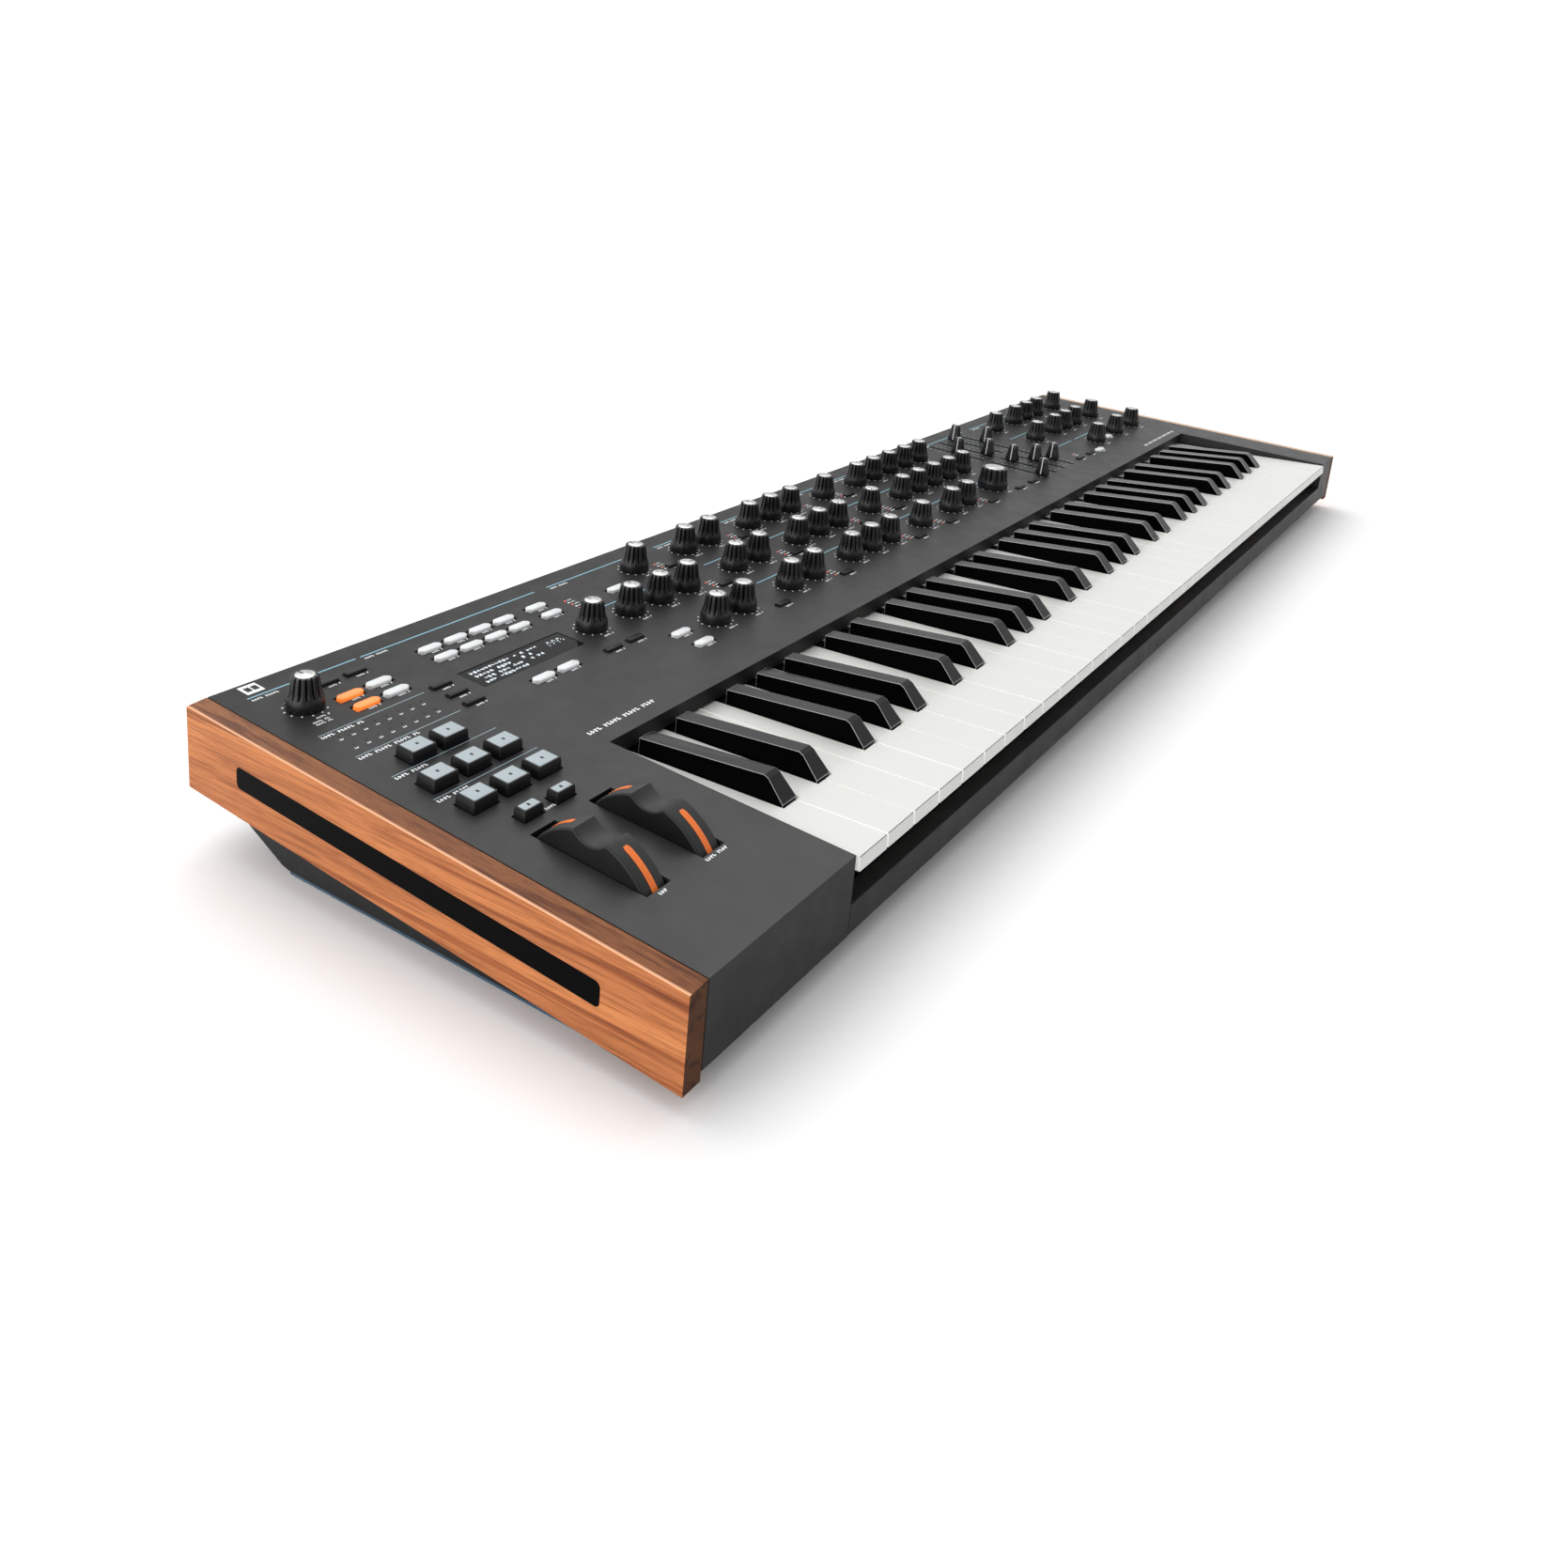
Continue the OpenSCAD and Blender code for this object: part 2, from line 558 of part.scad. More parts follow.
module switch_housing() {
    color("#202124") on_panel() out_of_rear(rocker_x) difference() {
        translate([-12, -9, -20]) cube([24, 18, 18]);
        translate([-10.3, -7.5, -18]) cube([20.6, 15, 20]);
    }
}
rocker_axis_y = 295.2;
module power_switch() {
    color("#1a1a1c") on_panel() translate([rocker_x - 9.8, rocker_axis_y, jack_z]) rotate([90, 0, 90])
        linear_extrude(19.6) intersection() {
            polygon([[-5, -3], [1, -5.9], [6, -5.9], [7.6, -5.7], [6.9, 0], [8.2, 5.7], [6, 5.9], [1, 5.9],
                     [-5, 3]]);
            circle(11);
        }
}

lower_chassis();
base_plate();
top_panel();
left_cheek();
right_cheek();
cheek_inlays();
feet();
key_slip();
keybed_frame();
key_pivot_rod();
contact_strip();
key_felt();
control_board();
main_board();
power_supply();
audio_jacks();
midi_sockets();
usb_socket();
power_inlet();
display_window();
display_module();
wheel_bracket();
pots();
slide_pots();
screws();
panel_knobs();
key_c();
key_c_sharp();
key_d();
key_d_sharp();
key_e();
key_f();
key_f_sharp();
key_g();
key_g_sharp();
key_a();
key_a_sharp();
key_b();
pitch_wheel();
mod_wheel();
fader_1();
fader_2();
fader_3();
fader_4();
fader_5();
fader_6();
fader_7();
fader_8();
power_switch();
pads();
white_buttons();
orange_buttons();
black_buttons();
volume_knob();
data_knob();
cutoff_knob();
resonance_knob();
tempo_knob();
mix_knob();
level_knob();
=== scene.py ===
"""Looks for the keyboard synthesizer: materials, detailed controls, printed panel, studio and camera."""
import math
import random

import bmesh
import bpy
from mathutils import Matrix, Vector


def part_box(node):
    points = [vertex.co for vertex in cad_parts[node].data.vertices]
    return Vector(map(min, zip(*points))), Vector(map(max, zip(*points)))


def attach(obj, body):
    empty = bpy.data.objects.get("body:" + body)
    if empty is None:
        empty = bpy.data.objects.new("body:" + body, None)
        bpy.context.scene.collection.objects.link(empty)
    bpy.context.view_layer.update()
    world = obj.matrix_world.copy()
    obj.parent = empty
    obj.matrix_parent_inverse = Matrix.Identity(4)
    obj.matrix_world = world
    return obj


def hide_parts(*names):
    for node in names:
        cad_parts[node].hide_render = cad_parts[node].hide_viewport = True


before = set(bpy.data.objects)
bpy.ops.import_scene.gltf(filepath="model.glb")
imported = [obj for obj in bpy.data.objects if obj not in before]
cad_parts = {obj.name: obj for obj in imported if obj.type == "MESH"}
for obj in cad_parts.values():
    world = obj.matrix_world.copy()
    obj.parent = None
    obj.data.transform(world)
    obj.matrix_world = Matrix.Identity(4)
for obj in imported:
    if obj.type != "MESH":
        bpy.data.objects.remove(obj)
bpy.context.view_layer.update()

MM = 0.001
TILT = math.radians(4)                       # slope of the top panel
LIFT = 52.07 * MM                            # height of the panel's front edge
Y_MID = 152 * MM
HALF_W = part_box("right_cheek")[1].x
PANEL = Matrix.Translation((-HALF_W, -Y_MID, LIFT)) @ Matrix.Rotation(TILT, 4, "X")
TO_PANEL = PANEL.inverted()


# ---------------------------------------------------------------- shader helpers
def new_material(name):
    material = bpy.data.materials.new(name)
    material.use_nodes = True
    nodes = material.node_tree.nodes
    return material, nodes, material.node_tree.links, nodes["Principled BSDF"]


def coordinates(nodes, links, scale):
    """Object coordinates, in metres times scale."""
    where = nodes.new("ShaderNodeTexCoord")
    mapping = nodes.new("ShaderNodeMapping")
    mapping.inputs["Scale"].default_value = scale
    links.new(where.outputs["Object"], mapping.inputs["Vector"])
    return mapping.outputs["Vector"]


def noise(nodes, links, vector, scale, detail=4.0, roughness=0.55, distortion=0.0):
    texture = nodes.new("ShaderNodeTexNoise")
    texture.inputs["Scale"].default_value = scale
    texture.inputs["Detail"].default_value = detail
    texture.inputs["Roughness"].default_value = roughness
    texture.inputs["Distortion"].default_value = distortion
    links.new(vector, texture.inputs["Vector"])
    return texture.outputs["Fac"]


def ramp(nodes, links, value, stops):
    """Colour from a value between 0 and 1, by (place, colour) stops."""
    node = nodes.new("ShaderNodeValToRGB")
    elements = node.color_ramp.elements
    while len(elements) < len(stops):
        elements.new(0.5)
    for element, (place, colour) in zip(elements, stops):
        element.position = place
        element.color = (*colour, 1)
    links.new(value, node.inputs["Fac"])
    return node.outputs["Color"]


def spread(nodes, links, value, low, high):
    """Stretches the middle of a noise value over low to high."""
    node = nodes.new("ShaderNodeMapRange")
    node.inputs["From Min"].default_value = 0.3
    node.inputs["From Max"].default_value = 0.7
    node.inputs["To Min"].default_value = low
    node.inputs["To Max"].default_value = high
    links.new(value, node.inputs["Value"])
    return node.outputs["Result"]


def bump(nodes, links, height, shader, strength, distance):
    node = nodes.new("ShaderNodeBump")
    node.inputs["Strength"].default_value = strength
    node.inputs["Distance"].default_value = distance
    links.new(height, node.inputs["Height"])
    links.new(node.outputs["Normal"], shader.inputs["Normal"])


def multiply(nodes, links, colours, layer, share):
    """Darkens colours by a layer, as strongly as share says."""
    node = nodes.new("ShaderNodeMix")
    node.data_type = "RGBA"
    node.blend_type = "MULTIPLY"
    node.inputs["Factor"].default_value = share
    links.new(colours, node.inputs[6])
    links.new(layer, node.inputs[7])
    return node.outputs[2]


def shade(colour, factor):
    return tuple(min(1.0, c * factor) for c in colour)


def finish_material(name, colour, rough, grain=900, relief=0.15, vary=0.12, cloud=14, specular=0.5,
                    sheen=0.0):
    """A moulded, painted or coated surface: cloudy colour, uneven gloss and a fine texture."""
    material, nodes, links, shader = new_material(name)
    place = coordinates(nodes, links, (1, 1, 1))
    clouds = noise(nodes, links, place, cloud, detail=5)
    colours = ramp(nodes, links, clouds, [(0.3, shade(colour, 1 - vary)), (0.7, shade(colour, 1 + vary))])
    links.new(colours, shader.inputs["Base Color"])
    wear = noise(nodes, links, place, cloud * 5, detail=6)
    links.new(spread(nodes, links, wear, rough[0], rough[1]), shader.inputs["Roughness"])
    fine = noise(nodes, links, place, grain, detail=2)
    bump(nodes, links, fine, shader, relief, 0.0002)
    shader.inputs["Specular IOR Level"].default_value = specular
    shader.inputs["Sheen Weight"].default_value = sheen
    return material


def dim_rearwards(name, colour, rough, specular, rear):
    """Panel coat whose shine falls from specular at the front to rear times that at the back."""
    material = finish_material(name, colour, rough, grain=2600, relief=0.10, vary=0.06,
                               specular=specular * (1 + rear) / 2)
    nodes, links = material.node_tree.nodes, material.node_tree.links
    where = nodes.new("ShaderNodeTexCoord")
    axes = nodes.new("ShaderNodeSeparateXYZ")
    links.new(where.outputs["Object"], axes.inputs["Vector"])
    depth = nodes.new("ShaderNodeMapRange")
    depth.inputs["From Min"].default_value = -Y_MID
    depth.inputs["From Max"].default_value = Y_MID
    depth.inputs["To Min"].default_value = specular
    depth.inputs["To Max"].default_value = specular * rear
    links.new(axes.outputs["Y"], depth.inputs["Value"])
    links.new(depth.outputs["Result"], nodes["Principled BSDF"].inputs["Specular IOR Level"])
    return material


def lit_material(name, colour, glow, rough=(0.25, 0.4)):
    """A translucent moulding with a lamp behind it; where no lamp lies behind, as on the white keys' sides,
    its glow is painted light.
    """
    material = finish_material(name, colour, rough, relief=0.05, vary=0.03)
    shader = material.node_tree.nodes["Principled BSDF"]
    shader.inputs["Emission Color"].default_value = (*colour, 1)
    shader.inputs["Emission Strength"].default_value = glow
    shader.inputs["Subsurface Weight"].default_value = 0.15
    shader.inputs["Subsurface Scale"].default_value = 0.002
    return material


def painted_edge_highlight(nodes, links, colours, colour):
    """Painted highlight: lightens wood within about a millimetre of the instrument's two outer sides, as if
    the edge caught the light.
    """
    where = nodes.new("ShaderNodeTexCoord")
    axes = nodes.new("ShaderNodeSeparateXYZ")
    links.new(where.outputs["Object"], axes.inputs["Vector"])
    side = nodes.new("ShaderNodeMath")
    side.operation = "ABSOLUTE"
    links.new(axes.outputs["X"], side.inputs[0])
    highlight_band = nodes.new("ShaderNodeMapRange")
    highlight_band.inputs["From Min"].default_value = HALF_W - 1.5 * MM
    highlight_band.inputs["From Max"].default_value = HALF_W - 0.7 * MM
    links.new(side.outputs["Value"], highlight_band.inputs["Value"])
    mix = nodes.new("ShaderNodeMix")
    mix.data_type = "RGBA"
    mix.inputs[7].default_value = (*colour, 1)
    links.new(highlight_band.outputs["Result"], mix.inputs["Factor"])
    links.new(colours, mix.inputs[6])
    return mix.outputs[2]


def wood_material(name, tones, streak, gloss, edge=None):
    """Oiled walnut: tones drift along the grain, with narrow dark streaks and fine pores.

    edge, if given, is the colour of a painted highlight along the instrument's two outer sides.
    """
    material, nodes, links, shader = new_material(name)
    drift = noise(nodes, links, coordinates(nodes, links, (1.0, 0.07, 1.0)), 30, detail=3, distortion=0.6)
    colours = ramp(nodes, links, drift, [(0.28, tones[0]), (0.50, tones[1]), (0.72, tones[2])])
    streaks = noise(nodes, links, coordinates(nodes, links, (1.0, 0.014, 1.0)), 190, detail=3, distortion=0.2)
    lines = ramp(nodes, links, streaks, [(0.29, streak), (0.37, shade(streak, 2.6)), (0.44, (1, 1, 1))])
    fibres = noise(nodes, links, coordinates(nodes, links, (1.0, 0.03, 1.0)), 900, detail=3, roughness=0.7)
    pores = ramp(nodes, links, fibres, [(0.36, (0.52, 0.44, 0.38)), (0.56, (1, 1, 1))])
    for layer, share in ((lines, 0.62), (pores, 0.8)):
        colours = multiply(nodes, links, colours, layer, share)
    # painted highlight along the outer top edges
    if edge:
        colours = painted_edge_highlight(nodes, links, colours, edge)
    links.new(colours, shader.inputs["Base Color"])
    links.new(spread(nodes, links, fibres, gloss, gloss + 0.14), shader.inputs["Roughness"])
    bump(nodes, links, fibres, shader, 0.2, 0.0002)
    shader.inputs["Specular IOR Level"].default_value = 0.15
    return material


def brushed_material(name, colour, rough, direction=(1, 40, 1)):
    """Metal with fine brush marks across one direction."""
    material, nodes, links, shader = new_material(name)
    place = coordinates(nodes, links, direction)
    marks = noise(nodes, links, place, 90, detail=4, roughness=0.7)
    colours = ramp(nodes, links, marks, [(0.3, shade(colour, 0.86)), (0.7, shade(colour, 1.1))])
    links.new(colours, shader.inputs["Base Color"])
    links.new(spread(nodes, links, marks, rough[0], rough[1]), shader.inputs["Roughness"])
    bump(nodes, links, marks, shader, 0.08, 0.0001)
    shader.inputs["Metallic"].default_value = 1.0
    return material


def board_material(name):
    """Green solder mask with lighter copper tracks under it."""
    material, nodes, links, shader = new_material(name)
    place = coordinates(nodes, links, (1, 1, 1))
    tracks = nodes.new("ShaderNodeTexBrick")
    tracks.inputs["Scale"].default_value = 60
    tracks.inputs["Color1"].default_value = (0.012, 0.085, 0.040, 1)
    tracks.inputs["Color2"].default_value = (0.018, 0.110, 0.050, 1)
    tracks.inputs["Mortar"].default_value = (0.05, 0.22, 0.10, 1)
    tracks.inputs["Mortar Size"].default_value = 0.012
    links.new(place, tracks.inputs["Vector"])
    links.new(tracks.outputs["Color"], shader.inputs["Base Color"])
    wear = noise(nodes, links, place, 120)
    links.new(spread(nodes, links, wear, 0.3, 0.45), shader.inputs["Roughness"])
    bump(nodes, links, tracks.outputs["Fac"], shader, 0.2, 0.0001)
    return material


WALNUT_TONES = ((0.40, 0.130, 0.045), (0.60, 0.215, 0.072), (0.74, 0.310, 0.115))
WALNUT_STREAK = (0.16, 0.09, 0.07)
MATERIALS = {
    "panel": dim_rearwards("panel_coat", (0.023, 0.023, 0.0225), (0.42, 0.52), specular=0.42, rear=0.3),
    # the key slip's finish, darker and duller than the panel coat; on the panel's front face it is painted
    # shade
    "slip": finish_material("slip_coat_and_painted_front_shade", (0.013, 0.013, 0.0128), (0.42, 0.52), grain=2600, relief=0.10,
                            specular=0.15),
    "chassis": finish_material("chassis_coat", (0.010, 0.011, 0.012), (0.42, 0.55), grain=2200, relief=0.14,
                               specular=0.25),
    "base": finish_material("base_paint", (0.035, 0.085, 0.140), (0.38, 0.5), grain=1800, relief=0.12),
    "foot": finish_material("foot_rubber", (0.028, 0.070, 0.115), (0.6, 0.75), grain=1400, relief=0.3),
    "wood": wood_material("walnut", WALNUT_TONES, WALNUT_STREAK, 0.42),
    # painted shade: the left cheek's top face is the walnut at 0.42 of its tone, darker than the side only
    # because less light falls on it; its edge colour is a painted highlight
    "wood_top_painted_shade_and_highlight": wood_material("walnut_top_painted_shade_and_highlight", [shade(c, 0.42) for c in WALNUT_TONES], WALNUT_STREAK, 0.34,
                              edge=(0.80, 0.42, 0.24)),
    # painted light: a paler copy of the walnut for the right cheek's top, standing in for the light on that
    # face
    "wood_far_painted_light": wood_material("walnut_far_painted_light", ((0.56, 0.36, 0.22), (0.68, 0.46, 0.30), (0.76, 0.54, 0.37)),
                              (0.6, 0.5, 0.4), 0.34),
    # end grain darkened further with painted shade: the cheeks' front and back faces at 0.16 of the walnut's
    # tone
    "wood_end_grain_and_painted_shade": wood_material("walnut_end_grain_and_painted_shade", [shade(c, 0.16) for c in WALNUT_TONES], WALNUT_STREAK, 0.6),
    "gloss": finish_material("gloss_black", (0.0009, 0.0009, 0.0012), (0.2, 0.3), relief=0.01, specular=0.02),
    "white_key": finish_material("white_key", (0.66, 0.665, 0.635), (0.26, 0.36), grain=500, relief=0.015,
                                 vary=0.012, cloud=6, specular=0.4),
    # painted glow: the white keys' sides glow, though no lamp lies behind them, to lighten the gaps between
    # keys
    "white_side": lit_material("white_key_side_painted_glow", (0.90, 0.90, 0.88), 0.15),
    "black_key": finish_material("black_key", (0.005, 0.005, 0.006), (0.20, 0.30), grain=1500, relief=0.03,
                                 vary=0.1, specular=0.24),
    # painted shade: a darker, duller copy of the black key finish for the keys' sides
    "black_key_side_painted_shade": finish_material("black_key_side_painted_shade", (0.0012, 0.0012, 0.0015), (0.3, 0.4), grain=1500,
                                      relief=0.03, vary=0.1, specular=0.02),
    # painted highlight: light grey on the black keys' rounded edges, standing in for reflections
    "black_edge_painted_highlight": finish_material("black_key_painted_edge_highlight", (0.38, 0.38, 0.385), (0.16, 0.24), grain=1500,
                                  relief=0.02, vary=0.2, cloud=40),
    "knob": finish_material("knob_plastic", (0.006, 0.006, 0.0075), (0.30, 0.42), grain=2400, relief=0.08,
                            specular=0.5),
    # painted shade: the knob finish darkened in the grips' grooves
    "groove": finish_material("knob_groove_painted_shade", (0.0012, 0.0012, 0.0014), (0.6, 0.7), grain=2400, relief=0.08,
                              specular=0.05),
    "cap": brushed_material("knob_cap", (0.58, 0.58, 0.57), (0.24, 0.40), direction=(8, 40, 1)),
    "ink_white": finish_material("ink_white", (0.86, 0.88, 0.90), (0.5, 0.6), relief=0.05, vary=0.05),
    "ink_blue": finish_material("ink_blue", (0.20, 0.42, 0.52), (0.5, 0.6), relief=0.05, vary=0.05),
    "ink_pale": finish_material("ink_pale", (0.24, 0.33, 0.36), (0.5, 0.6), relief=0.05, vary=0.05),
    "lamp_red": lit_material("lamp_red", (0.80, 0.07, 0.04), 0.5),
    "rubber": finish_material("wheel_rubber", (0.010, 0.010, 0.0105), (0.42, 0.55), grain=1600, relief=0.2,
                              specular=0.4),
    # painted shade: a darker, duller copy of the tyre rubber for the wheels' flat sides
    "rubber_side_painted_shade": finish_material("wheel_side_painted_shade", (0.0065, 0.0065, 0.007), (0.5, 0.6), grain=1600, relief=0.2,
                                   specular=0.2),
    "orange": lit_material("stripe_orange", (0.80, 0.150, 0.010), 0.08),
    "pill": lit_material("pill_white", (0.68, 0.70, 0.71), 0.03),
    "pill_orange": lit_material("pill_orange", (1.0, 0.22, 0.03), 0.55),
    "pad": lit_material("pad_grey", (0.39, 0.425, 0.45), 0.0, (0.4, 0.55)),
    "pad_body": finish_material("pad_body", (0.006, 0.006, 0.0075), (0.35, 0.45), grain=2000, relief=0.08,
                                specular=0.3),
    "button": finish_material("button_black", (0.005, 0.005, 0.005), (0.40, 0.50), grain=2000, relief=0.08,
                              specular=0.2),
    "socket": finish_material("socket_black", (0.014, 0.014, 0.015), (0.4, 0.55), grain=1800, relief=0.12),
    "frame": finish_material("black_zinc", (0.0012, 0.0012, 0.0012), (0.5, 0.65), grain=900, relief=0.1,
                             specular=0.02),
    "steel": brushed_material("zinc_steel", (0.45, 0.46, 0.48), (0.32, 0.5)),
    "bright": brushed_material("bright_steel", (0.72, 0.72, 0.73), (0.18, 0.3)),
    "screw": brushed_material("screw_steel", (0.16, 0.16, 0.17), (0.3, 0.42)),
    "board": board_material("solder_mask"),
    "silicone": finish_material("contact_silicone", (0.16, 0.19, 0.17), (0.6, 0.75), relief=0.2),
    "felt": finish_material("red_felt", (0.20, 0.015, 0.02), (0.9, 1.0), grain=3000, relief=0.8, vary=0.25,
                            cloud=400, sheen=0.6),
    "glass": finish_material("window_glass", (0.003, 0.0035, 0.0045), (0.08, 0.14), relief=0.01, vary=0.05,
                             specular=0.1),
    "screen": finish_material("screen_dark", (0.010, 0.016, 0.022), (0.3, 0.4), relief=0.02),
    "pixels": lit_material("screen_pixels", (0.70, 0.76, 0.80), 0.6),
}


# ---------------------------------------------------------------- mesh helpers
def ring_rect(w, d, r, z, n=5):
    """Rounded rectangle at height z, as points."""
    points = []
    for corner, (sx, sy) in enumerate([(1, 1), (-1, 1), (-1, -1), (1, -1)]):
        for i in range(n + 1):
            a = math.radians(90 * corner + 90 * i / n)
            points.append((sx * (w / 2 - r) + r * math.cos(a), sy * (d / 2 - r) + r * math.sin(a), z))
    return points


def ring_circle(radius, z, n=32):
    """Circle at height z; radius is a number or a function of the angle."""
    points = []
    for i in range(n):
        a = 2 * math.pi * i / n
        r = radius(a) if callable(radius) else radius
        points.append((r * math.cos(a), r * math.sin(a), z))
    return points


def add_loft(bm, rings, matrix, slot=0, end_slot=None, smooth=True, pick=None):
    """Skins rings that all have the same number of points; pick gives a slot from row and column."""
    rows = [[bm.verts.new(matrix @ Vector(p)) for p in ring] for ring in rings]
    n = len(rows[0])
    for row, (low, high) in enumerate(zip(rows, rows[1:])):
        for i in range(n):
            face = bm.faces.new((low[i], low[(i + 1) % n], high[(i + 1) % n], high[i]))
            face.material_index = pick(row, i) if pick else slot
            face.smooth = smooth
    for ends in (list(reversed(rows[0])), rows[-1]):
        bm.faces.new(ends).material_index = slot if end_slot is None else end_slot


def add_slab(bm, size, centre, matrix, slot=0):
    """Thin printed rectangle, lying on the panel."""
    x, y, z = centre
    w, d, h = size
    rings = [[(x + sx * w / 2, y + sy * d / 2, z + dz) for sx, sy in ((-1, -1), (1, -1), (1, 1), (-1, 1))]
             for dz in (0, h)]
    add_loft(bm, rings, matrix, slot, smooth=False)


def make_piece(name, bm, materials, body, replaced=()):
    """Turns a bmesh into a piece that rides on a body."""
    mesh = bpy.data.meshes.new(name)
    bm.normal_update()
    bm.to_mesh(mesh)
    bm.free()
    piece = bpy.data.objects.new(name, mesh)
    bpy.context.scene.collection.objects.link(piece)
    for key in materials:
        mesh.materials.append(MATERIALS[key])
    mesh.set_sharp_from_angle(angle=math.radians(38))
    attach(piece, body)
    if replaced:
        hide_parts(*replaced)
    return piece


def islands(node):
    """Low and high corners, in the panel frame, of each separate solid of a CAD node."""
    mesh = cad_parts[node].data
    key_of = {}
    group = {}

    def find(k):
        while group[k] != k:
            group[k] = group[group[k]]
            k = group[k]
        return k

    for v in mesh.vertices:
        key = tuple(round(c, 6) for c in v.co)
        key_of[v.index] = key
        group.setdefault(key, key)
    for face in mesh.polygons:
        first = find(key_of[face.vertices[0]])
        for index in face.vertices[1:]:
            group[find(key_of[index])] = first
    members = {}
    for key in group:
        members.setdefault(find(key), []).append(TO_PANEL @ Vector(key))
    boxes = []
    for points in members.values():
        low = Vector([min(p[i] for p in points) for i in range(3)])
        high = Vector([max(p[i] for p in points) for i in range(3)])
        boxes.append((low, high))
    return sorted(boxes, key=lambda b: (round(b[0].x, 4), round(b[0].y, 4)))


def centre_of(box):
    return (box[0] + box[1]) / 2


def on_panel(place):
    """Matrix that puts a shape, in millimetres, on the panel at a place."""
    return PANEL @ Matrix.Translation((place.x, place.y, 0)) @ Matrix.Scale(MM, 4)


# ---------------------------------------------------------------- CAD nodes: finish and softened edges
def dress(node, material, bevel=0.0, edge_highlight_material=None):
    """Gives a CAD node its material and rounds its edges by bevel mm, with a painted highlight on them if a
    highlight material is named.
    """
    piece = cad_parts[node]
    piece.data.materials.clear()
    piece.data.materials.append(MATERIALS[material])
    if bevel:
        weld = piece.modifiers.new("weld", "WELD")
        weld.merge_threshold = 0.00001
        edge = piece.modifiers.new("edges", "BEVEL")
        edge.width = bevel * MM
        edge.segments = 2
        edge.limit_method = "ANGLE"
        edge.angle_limit = math.radians(35)
        edge.harden_normals = True
        if edge_highlight_material:
            piece.data.materials.append(MATERIALS[edge_highlight_material])
            edge.material = 1


def recolour(node, material, picks):
    """Gives a second finish to the faces of a CAD node whose normal, in the panel frame, picks() accepts; the
    script uses it for painted shade, painted light, a painted glow and end grain on faces chosen by the way
    they face.
    """
    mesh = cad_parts[node].data
    slot = len(mesh.materials)
    mesh.materials.append(MATERIALS[material])
    turn = TO_PANEL.to_3x3()
    for face in mesh.polygons:
        if picks(turn @ face.normal):
            face.material_index = slot


CAD_FINISH = (                               # node, material, bevel in mm
    ("lower_chassis", "chassis", 0.4), ("base_plate", "base", 0.2), ("top_panel", "panel", 0.6),
    ("cheek_inlays", "gloss", 0.15), ("feet", "foot", 0.3), ("key_slip", "slip", 0.5),
    ("keybed_frame", "frame", 0), ("key_pivot_rod", "bright", 0.2), ("contact_strip", "silicone", 0.3),
    ("key_felt", "felt", 0.4), ("control_board", "board", 0), ("main_board", "board", 0.1),
    ("power_supply", "steel", 0.5), ("audio_jacks", "socket", 0.25), ("midi_sockets", "socket", 0.2),
    ("usb_socket", "bright", 0.3), ("power_inlet", "socket", 0.2), ("display_module", "screen", 0.3),
    ("display_window", "glass", 0.2), ("wheel_bracket", "steel", 0.2), ("pots", "steel", 0),
    ("slide_pots", "steel", 0.2), ("screws", "screw", 0.3), ("power_switch", "socket", 0.5))


def dress_frame():
    """Finishes the CAD nodes that stay: casework, keyboard, electronics and sockets."""
    for node, material, bevel in CAD_FINISH:
        dress(node, material, bevel)
    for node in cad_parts:
        if node.startswith("key_") and node.endswith("_sharp"):
            # black keys: painted highlight on the rounded edges, painted shade on the sides
            dress(node, "black_key", 0.7, "black_edge_painted_highlight")
            recolour(node, "black_key_side_painted_shade", lambda n: abs(n.x) > 0.8)
        elif node.startswith("key_") and len(node) == len("key_c"):
            dress(node, "white_key", 0.45)
            # white keys: painted glow on the sides
            recolour(node, "white_side", lambda n: abs(n.x) > 0.9)
    # painted shade on the panel's front face
    recolour("top_panel", "slip", lambda n: n.y < -0.9)
    # the left cheek's top takes painted shade and the right cheek's top painted light; both cheeks are the
    # same walnut
    for node, top in (("left_cheek", "wood_top_painted_shade_and_highlight"), ("right_cheek", "wood_far_painted_light")):
        dress(node, "wood", 0.35)
        recolour(node, top, lambda n: n.z > 0.9)
        # end faces: end grain and painted shade
        recolour(node, "wood_end_grain_and_painted_shade", lambda n: abs(n.y) > 0.9)


# ---------------------------------------------------------------- knobs
MOVING_KNOBS = ("volume_knob", "data_knob", "cutoff_knob", "resonance_knob", "tempo_knob", "mix_knob",
                "level_knob")
FLUTES = 14
GROOVE = 8                                   # points round the knob for each flute
SMALL_GRIP = 0.68                            # radius of the grip's top as a share of the skirt's
BIG_GRIP = 0.85
BIG_KNOB_R = 11
KNOB_TOP = 16.8
# height, share of the way from skirt to grip radius and, for the grip, depth of its grooves
BELL = [(0.3, 0.03), (0.9, 0.0), (3.0, 0.0), (4.2, 0.05), (5.4, 0.14)]
GRIP = [(6.5, 0.29, 0.25), (7.4, 0.40, 0.6), (8.4, 0.50, 0.8), (9.2, 0.55, 0.9), (11.0, 0.65, 0.95),
        (13.0, 0.76, 0.95), (15.2, 0.89, 0.9), (16.4, 0.97, 0.8)]


def fluted(base, cut):
    """Radius of the grip at an angle: flat ribs with narrow grooves between them."""
    return lambda a: base - cut * (0.5 + 0.5 * math.cos(FLUTES * a)) ** 4


def painted_groove_shade_slot(row, column):
    """Painted shade for the grip's faces that lie in a groove: a darker, duller copy of the knob finish."""
    in_grip = len(BELL) <= row <= len(BELL) + len(GRIP)
    return 2 if in_grip and column % GROOVE in (0, GROOVE - 1) else 0


